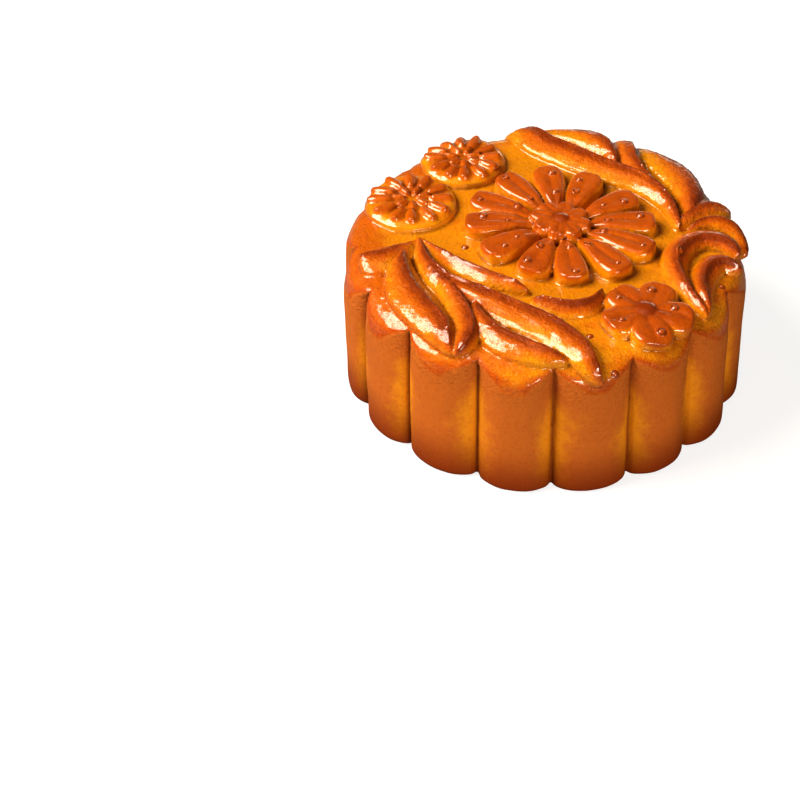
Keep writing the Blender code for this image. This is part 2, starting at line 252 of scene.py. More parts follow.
class Form:
    """The even cake's shape in millimetres, read once from the settings."""

    def __init__(self, sizes):
        self.crest = sizes.crest_radius / MM
        self.field = sizes.field_height / MM
        self.start = sizes.shoulder_start / MM
        self.flat = sizes.flat_radius / MM
        self.relief = sizes.relief / MM
        self.waist = sizes.waist / MM
        self.arc = sizes.lobe_arc_radius / MM
        self.lobes = sizes.lobes
        self.groove = 1.0
        self.groove_width = 0.5
        self.roundness = 2.4
        self.foot = 1.2
        self.lip = 0.25
        self.rise = self.field - self.start
        self.width = self.crest - self.waist - self.flat

    def drift(self, angle):
        """How far the lobes have wandered from their even places."""
        return 0.010 * np.sin(3.0 * angle + 0.7) + 0.007 * np.sin(7.0 * angle + 2.0)

    def flute_depth(self, angle):
        """How far the wall stands inside the crest circle."""
        pitch = math.tau / self.lobes
        off_crest = (angle + self.drift(angle) + pitch / 2.0) % pitch - pitch / 2.0
        centre = self.crest - self.arc
        side = centre * np.sin(off_crest)
        return self.crest - centre * np.cos(off_crest) - np.sqrt(self.arc**2 - side**2)

    def groove_depth(self, angle):
        """The sharp crease at the bottom of each valley."""
        pitch = math.tau / self.lobes
        off_crest = (angle + self.drift(angle) + pitch / 2.0) % pitch - pitch / 2.0
        off_valley = (pitch / 2.0 - np.abs(off_crest)) * self.crest
        return self.groove * np.exp(-((off_valley / self.groove_width) ** 2))

    def wall_radius(self, angle, height):
        """The wall at an angle and height, with a rounded foot and fading flutes."""
        drawn_in = self.waist * smooth_step(height, 2.0, 16.0)
        foot = np.clip(self.foot - height, 0.0, None)
        rounding = self.foot - np.sqrt(self.foot**2 - foot**2)
        groove = self.groove_depth(angle) * (1.0 - smooth_step(height, 26.8, 28.4))
        swell = smooth_step(height, 4.0, 12.0) * (1.0 - smooth_step(height, 20.0, 27.0))
        bulge = 0.5 * swell * np.clip(np.cos(angle - BULGE_ANGLE), 0.0, 1.0)
        uneven = 0.16 * np.sin(5.0 * angle + 0.4) + 0.12 * np.sin(11.0 * angle + 1.9)
        radius = self.crest - drawn_in - rounding - self.flute_depth(angle) - groove
        return radius + bulge + uneven * (1.0 - smooth_step(height, 22.0, 29.0)) - 0.1

    def crown_radius(self, height):
        """The crown's rounded edge at a height."""
        rise_share = np.clip((height - self.start) / self.rise, 0.0, 1.0)
        return self.flat + self.width * (1.0 - rise_share**self.roundness) ** (1.0 / self.roundness)

    def past_lip(self, angle, height):
        """How far a place lies up the crown from the lip where the wall ends: below zero on the wall."""
        past = self.wall_radius(angle, height) - self.crown_radius(height)
        return np.minimum(past, height - self.start - 1.5)

    def side_radius(self, angle, height):
        """The lesser of wall and crown, with the lip between them rounded over."""
        wall, crown = self.wall_radius(angle, height), self.crown_radius(height)
        return -self.lip * np.log(np.exp(-wall / self.lip) + np.exp(-crown / self.lip))

    def shoulder(self, turn):
        slope = turn * math.pi / 2.0
        power = 2.0 / self.roundness
        return np.sin(slope) ** power, np.clip(np.cos(slope), 0.0, 1.0) ** power

    def wrap(self, x, y, lift):
        """Points drawn flat, laid over the field and shoulder and lifted off them."""
        reach = np.hypot(x, y)
        heading = np.arctan2(y, x)
        turn = np.clip((reach - self.flat) / (0.83 * (self.width + self.rise)), 0.0, 0.98)
        share, rise_share = self.shoulder(turn)
        slope = turn * math.pi / 2.0
        out, up = np.sin(slope) / self.width, np.cos(slope) / self.rise
        length = np.hypot(out, up)
        lift = np.where(lift > 0.0, lift * (1.0 - 0.85 * turn**2), lift)
        radius = np.minimum(reach, self.flat) + self.width * share + lift * out / length
        height = self.start + self.rise * rise_share + lift * up / length
        return np.stack((radius * np.cos(heading), radius * np.sin(heading), height), axis=1)

    def even_height(self, places):
        """The height that settled places in metres had on the even cake."""
        off_centre = places[:, :2] @ FAR_SIDE / self.crest / MM
        return places[:, 2] / MM / (1.0 + FAR_GAIN * (1.0 + off_centre) / self.field)

    def even_angle(self, places):
        share = places[:, 2:3] / MM / self.field
        level = places[:, :2] / MM - LEAN * share
        return np.arctan2(level[:, 1], level[:, 0])

    def settle(self, places):
        """Points of the even cake, moved to where the baked cake has them, in metres."""
        share = places[:, 2:3] / self.field
        off_centre = places[:, :2] @ FAR_SIDE / self.crest
        moved = places.copy()
        moved[:, :2] += LEAN * share
        moved[:, 2] += FAR_GAIN * (1.0 + off_centre) * share[:, 0]
        return moved * MM


def along(points, share):
    """Places and headings on the smooth curve through the points."""
    points = np.asarray(points, float)
    spans = len(points) - 1
    span = np.clip((share * spans).astype(int), 0, spans - 1)
    local = (share * spans - span)[:, None]
    before, start = points[np.maximum(span - 1, 0)], points[span]
    end, after = points[span + 1], points[np.minimum(span + 2, spans)]
    lead, trail = (end - before) / 2.0, (after - start) / 2.0
    square, cube = local**2, local**3
    place = (start * (2 * cube - 3 * square + 1) + lead * (cube - 2 * square + local)
             + end * (3 * square - 2 * cube) + trail * (cube - square))
    heading = (start * (6 * square - 6 * local) + lead * (3 * square - 4 * local + 1)
               + end * (6 * local - 6 * square) + trail * (3 * square - 2 * local))
    return place, heading / np.linalg.norm(heading, axis=1, keepdims=True)


def ridged(across, share, ridge):
    """Section and brownness of a leaf: a broad golden face and a steep brown one, the steep face's brown partly
    browning and partly painted shade.
    """
    crest = ridge[0] + (ridge[1] - ridge[0]) * share
    off_steep = np.clip((across - crest) / (1.0 - crest), 0.0, 1.0)
    off_broad = np.clip((crest - across) / (1.0 + crest), 0.0, 1.0)
    keel = 0.10 * np.exp(-(((across - crest) / 0.11) ** 2))
    fall = 0.33 * smooth_step(off_broad, 0.35, 1.0) + 0.28 * off_broad
    height = (1.0 - 0.78 * off_steep**0.85) * (1.0 - fall) + keel
    edge = (1.0 - np.abs(across) ** 14) ** 0.5
    tip = smooth_step(np.abs(share - 0.5), 0.3, 0.5)
    # The steep face is painted browner: partly browning, partly painted shade.
    brown = 1.05 + 0.25 * smooth_step(off_steep, 0.0, 0.2) - 0.65 * smooth_step(off_broad, 0.2, 0.6)
    brown = brown + 0.3 * tip - 0.35 * smooth_step(np.abs(across), 0.86, 0.98)
    return height * edge, np.clip(brown, 0.0, 1.2) / 1.2


def padded_top(across, share, groove):
    """Section and brownness of a petal: a flat brown top with rolled edges and a shallow groove."""
    edge = (1.0 - np.abs(across) ** 7) ** 0.42
    furrow = groove * np.exp(-((across / 0.16) ** 2)) * smooth_step(share, 0.05, 0.25)
    height = edge * (1.0 - furrow * (1.0 - smooth_step(share, 0.7, 0.9)))
    return height, 0.66 - 0.5 * smooth_step(np.abs(across), 0.74, 0.96)


def rounded_top(across, share, groove):
    """Section and brownness of a narrow petal: half round."""
    return (1.0 - np.abs(across) ** 3) ** 0.6, 0.6 - 0.3 * np.abs(across) ** 2


# ---------------------------------------------------------------- modelling helpers


def deselect():
    bpy.ops.object.select_all(action="DESELECT")


def pick(piece):
    """Selects one piece alone and makes it active."""
    deselect()
    piece.select_set(True)
    bpy.context.view_layer.objects.active = piece


def added(name):
    """The primitive that was just added, under its own name, with its place in its mesh."""
    piece = bpy.context.active_object
    piece.name = name
    piece.data.name = name
    bpy.ops.object.transform_apply(location=True, rotation=True, scale=True)
    return piece


def copied(piece, name):
    copy = piece.copy()
    copy.data = piece.data.copy()
    copy.name = copy.data.name = name
    bpy.context.collection.objects.link(copy)
    return copy


def read_places(piece):
    places = np.empty(len(piece.data.vertices) * 3)
    piece.data.vertices.foreach_get("co", places)
    return places.reshape(-1, 3)


def write_places(piece, places):
    piece.data.vertices.foreach_set("co", np.ascontiguousarray(places).ravel())
    piece.data.update()


def write_mask(piece, name, values):
    layer = piece.data.attributes.get(name) or piece.data.attributes.new(name, "FLOAT", "POINT")
    layer.data.foreach_set("value", np.clip(values, 0.0, 1.0).astype(np.float32))


def finish_modifier(piece, kind, **settings):
    """Adds a modifier with its settings and applies it."""
    pick(piece)
    modifier = piece.modifiers.new(kind.lower(), kind)
    for key, value in settings.items():
        setattr(modifier, key, value)
    bpy.ops.object.modifier_apply(modifier=modifier.name)


def outward(piece):
    pick(piece)
    bpy.ops.object.mode_set(mode="EDIT")
    bpy.ops.mesh.select_all(action="SELECT")
    bpy.ops.mesh.normals_make_consistent(inside=False)
    bpy.ops.object.mode_set(mode="OBJECT")


def blade_blank(name, rings, sides):
    """A rod of unit length and radius along X, cut into rings: the start of every leaf."""
    deselect()
    bpy.ops.mesh.primitive_cylinder_add(
        vertices=sides, radius=1.0, depth=1.0, end_fill_type="NGON",
        location=(0.5, 0.0, 0.0), rotation=(0.0, math.pi / 2.0, 0.0))
    blank = added(name)
    bpy.ops.object.mode_set(mode="EDIT")
    bpy.ops.mesh.select_mode(type="EDGE")
    bpy.ops.mesh.select_all(action="DESELECT")
    bm = bmesh.from_edit_mesh(blank.data)
    for edge in bm.edges:
        edge.select_set(abs(edge.verts[0].co.x - edge.verts[1].co.x) > 0.5)
    bmesh.update_edit_mesh(blank.data)
    bpy.ops.mesh.subdivide_edgering(number_cuts=rings, interpolation="LINEAR")
    bpy.ops.object.mode_set(mode="OBJECT")
    return blank


def disc_blank(name, rings, sides):
    """A unit disc of rings with a root under it: the start of every button and medallion."""
    deselect()
    bpy.ops.mesh.primitive_circle_add(vertices=sides, radius=1.0, fill_type="NGON")
    blank = added(name)
    bpy.ops.object.mode_set(mode="EDIT")
    bpy.ops.mesh.select_all(action="SELECT")
    bpy.ops.mesh.extrude_region_move(TRANSFORM_OT_translate={"value": (0.0, 0.0, 1.0)})
    for _ in range(rings):
        bpy.ops.mesh.inset(thickness=1.0 / (rings + 1), depth=0.0)
    bpy.ops.object.mode_set(mode="OBJECT")
    outward(blank)
    return blank


def lay_blade(blank, name, form, spine, width, belly=0.5, fullness=0.7, lift=1.0, section=ridged,
              ridge=(0.2, 0.2), steep_side=1.0, tip_height=0.35, wrinkled=0.25):
    """A copy of the rod, laid along a spine on the crown with a leaf's outline and section."""
    piece = copied(blank, name)
    rod = read_places(piece)
    share = 0.008 + 0.984 * (0.5 - 0.5 * np.cos(math.pi * rod[:, 0]))
    spread = np.sin(math.pi * share ** (math.log(0.5) / math.log(belly))) ** fullness
    place, heading = along(spine, share)
    across = np.clip(rod[:, 1], -1.0, 1.0)
    sideways = np.sign(across) * np.where(rod[:, 2] < -0.01, np.abs(across) ** 0.4, np.abs(across))
    half = width / 2.0 * spread * sideways
    x = place[:, 0] - heading[:, 1] * half
    y = place[:, 1] + heading[:, 0] * half
    height = form.relief * lift * (tip_height + (1.0 - tip_height) * np.minimum(1.0, 1.6 * spread))
    shape, brown = section(across * steep_side, share, ridge)
    top = height * shape
    lifted = np.where(rod[:, 2] > 0.01, top, np.where(rod[:, 2] < -0.01, -2.4, 0.0))
    write_places(piece, form.settle(form.wrap(x, y, lifted)))
    write_mask(piece, "brown", brown)
    write_mask(piece, "wrinkled", np.full(len(rod), wrinkled))
    outward(piece)
    return piece


def lay_disc(blank, name, form, centre, radius, profile, brown=0.85):
    """A copy of the disc, laid on the crown with a turned profile."""
    piece = copied(blank, name)
    disc = read_places(piece)
    reach = np.hypot(disc[:, 0], disc[:, 1])
    lifted = np.where(disc[:, 2] > 0.5, profile(reach), -2.4)
    x, y = centre[0] + radius * disc[:, 0], centre[1] + radius * disc[:, 1]
    write_places(piece, form.settle(form.wrap(x, y, lifted)))
    write_mask(piece, "brown", np.full(len(disc), brown))
    outward(piece)
    return piece


def set_round(blank, name, form, centre, reach, count, run, width, turn=0.0, **style):
    """Petals set evenly round a centre, over a run of shares of an oval's reach."""
    for petal in range(count):
        angle = turn + math.tau * petal / count + 0.03 * math.sin(2.3 * petal + 0.5)
        ray = reach * np.array((math.cos(angle), math.sin(angle)))
        ray = ray * (1.0 + 0.015 * math.sin(1.7 * petal + 1.0))
        spine = [centre + ray * share for share in run]
        lay_blade(blank, f"{name}_{petal}", form, spine, width, **style)


# ---------------------------------------------------------------- node groups


def socket(tree, name, direction, kind="NodeSocketFloat", value=None):
    made = tree.interface.new_socket(name=name, in_out=direction, socket_type=kind)
    if value is not None:
        made.default_value = value
    return made


def node(tree, kind, **settings):
    made = tree.nodes.new(kind)
    for key, value in settings.items():
        setattr(made, key, value)
    return made


def math_node(tree, operation, first, second=None, third=None, clamp=False):
    made = node(tree, "ShaderNodeMath", operation=operation, use_clamp=clamp)
    for slot, value in enumerate((first, second, third)):
        if value is None:
            continue
        if isinstance(value, (int, float)):
            made.inputs[slot].default_value = value
        else:
            tree.links.new(value, made.inputs[slot])
    return made.outputs[0]


def span_node(tree, value, low, high, to_low=0.0, to_high=1.0, smooth=True):
    made = node(tree, "ShaderNodeMapRange")
    made.interpolation_type = "SMOOTHSTEP" if smooth else "LINEAR"
    tree.links.new(value, made.inputs["Value"])
    for name, number in (("From Min", low), ("From Max", high), ("To Min", to_low), ("To Max", to_high)):
        made.inputs[name].default_value = number
    return made.outputs["Result"]


def mix_node(tree, share, first, second, blend="MIX"):
    made = node(tree, "ShaderNodeMix", data_type="RGBA", blend_type=blend, clamp_factor=True)
    for name, value in (("Factor", share), ("A", first), ("B", second)):
        target = next(s for s in made.inputs if s.name == name and s.enabled)
        if isinstance(value, (int, float)):
            target.default_value = value
        elif isinstance(value, tuple):
            target.default_value = value
        else:
            tree.links.new(value, target)
    return next(s for s in made.outputs if s.enabled)


def noise_node(tree, vector, scale, detail=3.0, roughness=0.5, distortion=0.0):
    made = node(tree, "ShaderNodeTexNoise")
    tree.links.new(vector, made.inputs["Vector"])
    made.inputs["Scale"].default_value = scale
    made.inputs["Detail"].default_value = detail
    made.inputs["Roughness"].default_value = roughness
    made.inputs["Distortion"].default_value = distortion
    return made.outputs["Fac"]


def new_group(name, inputs, outputs):
    tree = bpy.data.node_groups.new(name, "ShaderNodeTree")
    for label, kind, value in inputs:
        socket(tree, label, "INPUT", kind, value)
    for label, kind in outputs:
        socket(tree, label, "OUTPUT", kind)
    entry = tree.nodes.new("NodeGroupInput")
    leave = tree.nodes.new("NodeGroupOutput")
    return tree, entry.outputs, leave.inputs


def group_node(tree, group, **values):
    made = node(tree, "ShaderNodeGroup", node_tree=group)
    for name, value in values.items():
        target = made.inputs[name.replace("_", " ")]
        if isinstance(value, bpy.types.NodeSocket):
            tree.links.new(value, target)
        else:
            target.default_value = value
    return made


def colour(value):
    return (*value, 1.0)


FLOAT, COLOUR, VECTOR = "NodeSocketFloat", "NodeSocketColor", "NodeSocketVector"


def tint_group(colours):
    """Crust colour of the crown and the wall from how baked, deep or sharp a place is, with painted shade in deep
    places and a painted golden bounce glow in the field's hollows.
    """
    tree, given, out = new_group(
        "Crust tint",
        (("Place", VECTOR, None), ("Raised", FLOAT, 0.0), ("Tone", FLOAT, 0.0), ("Wall", FLOAT, 0.0),
         ("Crest", FLOAT, 0.0), ("Rim", FLOAT, 0.0), ("Lip", FLOAT, 0.0), ("Foot", FLOAT, 0.0),
         ("Crease", FLOAT, 0.0),
         ("Hollow", FLOAT, 0.0), ("Edge", FLOAT, 0.0)),
        (("Colour", COLOUR),))
    broad = noise_node(tree, given["Place"], 110.0, 3.0, 0.55)
    middle = noise_node(tree, given["Place"], 420.0, 4.0, 0.6)
    fine = noise_node(tree, given["Place"], 1500.0, 3.0, 0.6)
    drift = math_node(tree, "MULTIPLY", math_node(tree, "SUBTRACT", broad, 0.5), 0.9)
    speck = math_node(tree, "MULTIPLY", math_node(tree, "SUBTRACT", middle, 0.5), 0.7)
    uneven = math_node(tree, "ADD", drift, speck)
    climb = span_node(tree, given["Raised"], 0.1, 0.9)
    # Browning from the pieces' tone and the rim; on leaves' steep faces the tone is partly painted shade.
    browned_and_shade = math_node(tree, "MAXIMUM", math_node(tree, "MULTIPLY", given["Tone"], climb), math_node(
        tree, "MULTIPLY", given["Rim"], 0.5))
    baked = math_node(tree, "MULTIPLY_ADD", uneven, 0.65, math_node(tree, "MULTIPLY", browned_and_shade, 1.2))
    # Painted bounce light: the field turns more golden in hollows, on top of its random uneven tone.
    uneven_and_bounce_glow = math_node(tree, "MULTIPLY_ADD", given["Hollow"], -0.25, uneven)
    field = mix_node(tree, span_node(tree, uneven_and_bounce_glow, -0.15, 0.55), colour(colours.field), colour(colours.amber))
    orange = mix_node(tree, span_node(tree, baked, 0.05, 0.45), field, colour(colours.amber))
    tanned = mix_node(tree, span_node(tree, baked, 0.35, 0.9), orange, colour(colours.raised))
    top = mix_node(tree, span_node(tree, baked, 0.8, 1.15, 0.0, 0.9), tanned, colour(colours.browned_and_shade))
    flank = math_node(tree, "ADD", given["Crest"], uneven)
    wall = mix_node(tree, span_node(tree, flank, 0.2, 0.9), colour(colours.flank), colour(colours.wall))
    joined = mix_node(tree, given["Wall"], top, wall)
    base = mix_node(tree, math_node(tree, "MULTIPLY", given["Lip"], span_node(
        tree, uneven, -0.4, 0.3, 0.5, 0.95)), joined, colour(colours.lip))
    mottled = mix_node(tree, span_node(tree, fine, 0.45, 0.75, 0.0, 0.22), base, colour(colours.browned_and_shade))
    # Foot: partly browning, partly painted shade.
    footed = mix_node(tree, given["Foot"], mottled, colour(colours.browned_and_shade))
    edged = mix_node(tree, math_node(tree, "MULTIPLY", given["Edge"], 0.3), footed, colour(colours.browned_and_shade))
    # Painted shade: hollows near the feet of the raised pieces darken toward dark brown.
    shaded = math_node(tree, "MULTIPLY", given["Hollow"], span_node(tree, given["Raised"], 0.1, 0.4, 0.3, 0.75))
    sunk = mix_node(tree, shaded, edged, colour(colours.browned_and_shade))
    # Painted shade, partly browning: creases and valley grooves turn dark.
    creased = mix_node(tree, math_node(tree, "MULTIPLY", given["Crease"], 0.9), sunk, colour(colours.crease))
    tree.links.new(creased, out["Colour"])
    return tree


def grain_group():
    """Fine relief of the crust: wrinkles, bubbles and the grain of the flour."""
    tree, given, out = new_group(
        "Crust grain",
        (("Place", VECTOR, None), ("Wrinkle", FLOAT, 0.5), ("Bubbles", FLOAT, 0.5), ("Pores", FLOAT, 0.5)),
        (("Height", FLOAT),))
    rumple = noise_node(tree, given["Place"], 620.0, 4.0, 0.6, 0.8)
    crackle = math_node(tree, "ABSOLUTE", math_node(tree, "SUBTRACT", noise_node(
        tree, given["Place"], 900.0, 2.0, 0.5, 1.2), 0.5))
    crackle = span_node(tree, crackle, 0.0, 0.09)
    wrinkle = math_node(tree, "MULTIPLY_ADD", crackle, 0.35, rumple)
    pores = noise_node(tree, given["Place"], 2600.0, 3.0, 0.6)
    cells = node(tree, "ShaderNodeTexVoronoi", feature="SMOOTH_F1")
    tree.links.new(given["Place"], cells.inputs["Vector"])
    cells.inputs["Scale"].default_value = 1500.0
    bubbles = span_node(tree, cells.outputs["Distance"], 0.0, 0.6, 1.0, 0.0)
    height = math_node(tree, "ADD", math_node(tree, "MULTIPLY", wrinkle, given["Wrinkle"]),
                       math_node(tree, "MULTIPLY", pores, given["Pores"]))
    height = math_node(tree, "ADD", height, math_node(tree, "MULTIPLY", bubbles, given["Bubbles"]))
    tree.links.new(height, out["Height"])
    return tree


def glaze_group():
    """Where the egg glaze lies and how smooth it leaves the crust: cracked along the wrinkles."""
    tree, given, out = new_group(
        "Egg glaze",
        (("Place", VECTOR, None), ("Cover", FLOAT, 1.0), ("Crackle", FLOAT, 0.0)),
        (("Coat", FLOAT), ("Roughness", FLOAT)))
    patches = noise_node(tree, given["Place"], 240.0, 4.0, 0.6)
    cover = math_node(tree, "MULTIPLY", given["Cover"], span_node(tree, patches, 0.25, 0.6, 0.75, 1.0))
    lines = []
    for scale, width in ((750.0, 0.035), (1700.0, 0.05)):
        level = noise_node(tree, given["Place"], scale, 2.0, 0.5, 1.4)
        off_line = math_node(tree, "ABSOLUTE", math_node(tree, "SUBTRACT", level, 0.5))
        lines.append(span_node(tree, off_line, 0.0, width, 1.0, 0.0))
    cracks = math_node(tree, "MULTIPLY", math_node(tree, "MAXIMUM", lines[0], lines[1]), given["Crackle"])
    left = math_node(tree, "SUBTRACT", 1.0, math_node(tree, "MULTIPLY", cracks, 0.85))
    tree.links.new(math_node(tree, "MULTIPLY", cover, left), out["Coat"])
    tree.links.new(span_node(tree, cover, 0.0, 1.0, 0.58, 0.28, smooth=False), out["Roughness"])
    return tree


def crust_material(settings, colours):
    material = bpy.data.materials.new("baked_crust")
    material.use_nodes = True
    tree = material.node_tree
    shader = tree.nodes["Principled BSDF"]
    place = tree.nodes.new("ShaderNodeTexCoord").outputs["Object"]
    height = node(tree, "ShaderNodeSeparateXYZ")
    tree.links.new(place, height.inputs[0])
    mask = {}
    for name in ("raised", "tone", "wrinkled", "wall", "crest", "rim", "lip", "crease", "hollow", "edge"):
        reader = node(tree, "ShaderNodeAttribute", attribute_type="GEOMETRY", attribute_name=name)
        mask[name] = reader.outputs["Fac"]
    # Darker towards the bottom: partly browning, partly painted shade at the foot.
    foot = span_node(tree, height.outputs["Z"], -1.0 * MM, 12.5 * MM, 1.0, 0.0)
    tint = group_node(tree, bpy.data.node_groups["Crust tint"], Place=place, Raised=mask["raised"],
                      Tone=mask["tone"], Wall=mask["wall"], Crest=mask["crest"], Rim=mask["rim"],
                      Lip=mask["lip"], Foot=foot, Crease=mask["crease"], Hollow=mask["hollow"], Edge=mask["edge"])
    tree.links.new(tint.outputs["Colour"], shader.inputs["Base Color"])
    glaze = group_node(tree, bpy.data.node_groups["Egg glaze"], Place=place,
                       Cover=span_node(tree, mask["wall"], 0.35, 0.65, 1.0, 0.0),
                       Crackle=span_node(tree, mask["wrinkled"], 0.1, 0.9, 0.1, 1.0, smooth=False))
    dry = span_node(tree, mask["crease"], 0.0, 0.8, 1.0, 0.1)
    coat = math_node(tree, "MULTIPLY", glaze.outputs["Coat"], dry)
    tree.links.new(coat, shader.inputs["Coat Weight"])
    shader.inputs["Coat Roughness"].default_value = 0.15
    shader.inputs["Coat IOR"].default_value = 1.62
    tree.links.new(glaze.outputs["Roughness"], shader.inputs["Roughness"])
    shader.inputs["IOR"].default_value = 1.5
    shader.inputs["Specular IOR Level"].default_value = 0.18
    shader.inputs["Specular Tint"].default_value = (1.0, 0.85, 0.65, 1.0)
    grain = group_node(tree, bpy.data.node_groups["Crust grain"], Place=place,
                       Wrinkle=span_node(tree, mask["wrinkled"], 0.0, 1.0, 0.1, 1.0, smooth=False),
                       Bubbles=span_node(tree, mask["wrinkled"], 0.0, 1.0, 0.1, 0.4, smooth=False),
                       Pores=span_node(tree, mask["wall"], 0.0, 1.0, 0.12, 0.16))
    bump = node(tree, "ShaderNodeBump")
    bump.inputs["Strength"].default_value = 0.8
    bump.inputs["Distance"].default_value = 0.3 * MM
    tree.links.new(grain.outputs["Height"], bump.inputs["Height"])
    tree.links.new(bump.outputs["Normal"], shader.inputs["Normal"])
    return material


def blister_material():
    """Thin glossy crust of the blisters, with painted shade in the ditch round each."""
    material = bpy.data.materials.new("blister_crust")
    material.use_nodes = True
    tree = material.node_tree
    shader = tree.nodes["Principled BSDF"]
    place = tree.nodes.new("ShaderNodeTexCoord").outputs["Object"]
    ditch = node(tree, "ShaderNodeAttribute", attribute_type="GEOMETRY", attribute_name="ditch")
    tint = group_node(tree, bpy.data.node_groups["Crust tint"], Place=place, Raised=1.0, Tone=0.7,
                      Crease=ditch.outputs["Fac"])
    tree.links.new(tint.outputs["Colour"], shader.inputs["Base Color"])
    glaze = group_node(tree, bpy.data.node_groups["Egg glaze"], Place=place, Cover=1.0, Crackle=0.2)
    tree.links.new(glaze.outputs["Coat"], shader.inputs["Coat Weight"])
    tree.links.new(glaze.outputs["Roughness"], shader.inputs["Roughness"])
    shader.inputs["Coat Roughness"].default_value = 0.1
    return material


# ---------------------------------------------------------------- operators


class MOONCAKE_OT_plain_cake(bpy.types.Operator):
    """Models the plain fluted cake with its rounded shoulder"""

    bl_idname = "mooncake.plain_cake"
    bl_label = "Plain cake"

    def execute(self, context):
        form = Form(context.scene.cake_sizes)
        sides = form.lobes * 24
        turns = np.linspace(1.0, 0.0, 31)[1:]
        wall = [0.0, 0.15, 0.4, 0.75, 1.2, *np.linspace(2.4, form.start, 13)]
        heights = wall + [form.start + form.rise * form.shoulder(turn)[1] for turn in turns]
        deselect()
        bpy.ops.mesh.primitive_circle_add(vertices=sides, radius=form.crest, fill_type="NGON")
        cake = added("plain_cake")
        bpy.ops.object.mode_set(mode="EDIT")
        bpy.ops.mesh.select_all(action="SELECT")
        for low, high in zip(heights, heights[1:]):
            bpy.ops.mesh.extrude_region_move(TRANSFORM_OT_translate={"value": (0.0, 0.0, high - low)})
        bpy.ops.object.mode_set(mode="OBJECT")
        outward(cake)
        places = read_places(cake)
        angle = np.arctan2(places[:, 1], places[:, 0])
        height = np.clip(places[:, 2], 0.0, form.field)
        radius = form.side_radius(angle, height)
        shaped = np.stack((radius * np.cos(angle), radius * np.sin(angle), height), axis=1)
        write_places(cake, form.settle(shaped))
        return {"FINISHED"}


class MOONCAKE_OT_leaf_sprays(bpy.types.Operator):
    """Lays the two leaf sprays that face each other across the crown"""

    bl_idname = "mooncake.leaf_sprays"
    bl_label = "Leaf sprays"

    def execute(self, context):
        form = Form(context.scene.cake_sizes)
        blank = blade_blank("leaf_blank", 40, 28)
        for name, centre, side in (("near", NEAR_CENTRE, 1.0), ("far", FAR_CENTRE, -1.0)):
            for key, leaf in LEAVES.items():
                shape = dict(leaf, spine=centre + side * np.array(leaf["spine"], float),
                             steep_side=side * leaf.get("steep_side", 1.0))
                lay_blade(blank, f"relief_{name}_{key}", form, wrinkled=1.0, **shape)
        bpy.data.objects.remove(blank, do_unlink=True)
        return {"FINISHED"}


class MOONCAKE_OT_single_leaves(bpy.types.Operator):
    """Lays the leaves that stand alone and the crescents that roll over the shoulder"""

    bl_idname = "mooncake.single_leaves"
    bl_label = "Single leaves"

    def execute(self, context):
        form = Form(context.scene.cake_sizes)
        blank = blade_blank("leaf_blank", 40, 28)
        for key, leaf in SINGLE_LEAVES.items():
            lay_blade(blank, f"relief_{key}", form, wrinkled=0.8, **leaf)
        bpy.data.objects.remove(blank, do_unlink=True)
        return {"FINISHED"}


class MOONCAKE_OT_flower(bpy.types.Operator):
    """Lays the big flower in the middle of the crown: two rings of petals round a button"""

    bl_idname = "mooncake.flower"
    bl_label = "Big flower"

    def execute(self, context):
        form = Form(context.scene.cake_sizes)
        petal = blade_blank("petal_blank", 24, 28)
        button = disc_blank("button_blank", 8, 48)
        set_round(petal, "relief_long_petal", form, FLOWER_CENTRE, FLOWER_REACH, 12, (0.24, 1.0), 6.9,
                  turn=0.13, belly=0.72, fullness=0.42, section=padded_top, ridge=0.1)
        set_round(petal, "relief_rosette", form, FLOWER_CENTRE, FLOWER_REACH, 8, (0.06, 0.31), 3.8,
                  turn=0.3, belly=0.62, fullness=0.42, lift=1.2, section=padded_top, ridge=0.08)
        lay_disc(button, "relief_button", form, FLOWER_CENTRE, 1.8,
                 lambda reach: 3.6 - 0.8 * reach**2)
        bpy.data.objects.remove(petal, do_unlink=True)
        bpy.data.objects.remove(button, do_unlink=True)
        return {"FINISHED"}


class MOONCAKE_OT_round_blossom(bpy.types.Operator):
    """Lays the small round blossom near the edge"""

    bl_idname = "mooncake.round_blossom"
    bl_label = "Round blossom"

    def execute(self, context):
        form = Form(context.scene.cake_sizes)
        petal = blade_blank("petal_blank", 24, 28)
        button = disc_blank("button_blank", 8, 40)
        set_round(petal, "relief_blossom", form, BLOSSOM_CENTRE, np.array((8.4, 8.4)), 5,
                  (0.12, 1.0), 8.0, turn=0.4, belly=0.62, fullness=0.42, section=padded_top, ridge=0.12)
        lay_disc(button, "relief_eye", form, BLOSSOM_CENTRE, 2.4,
                 lambda reach: form.relief * (1.18 - 0.35 * reach**3))
        bpy.data.objects.remove(petal, do_unlink=True)
        bpy.data.objects.remove(button, do_unlink=True)
        return {"FINISHED"}


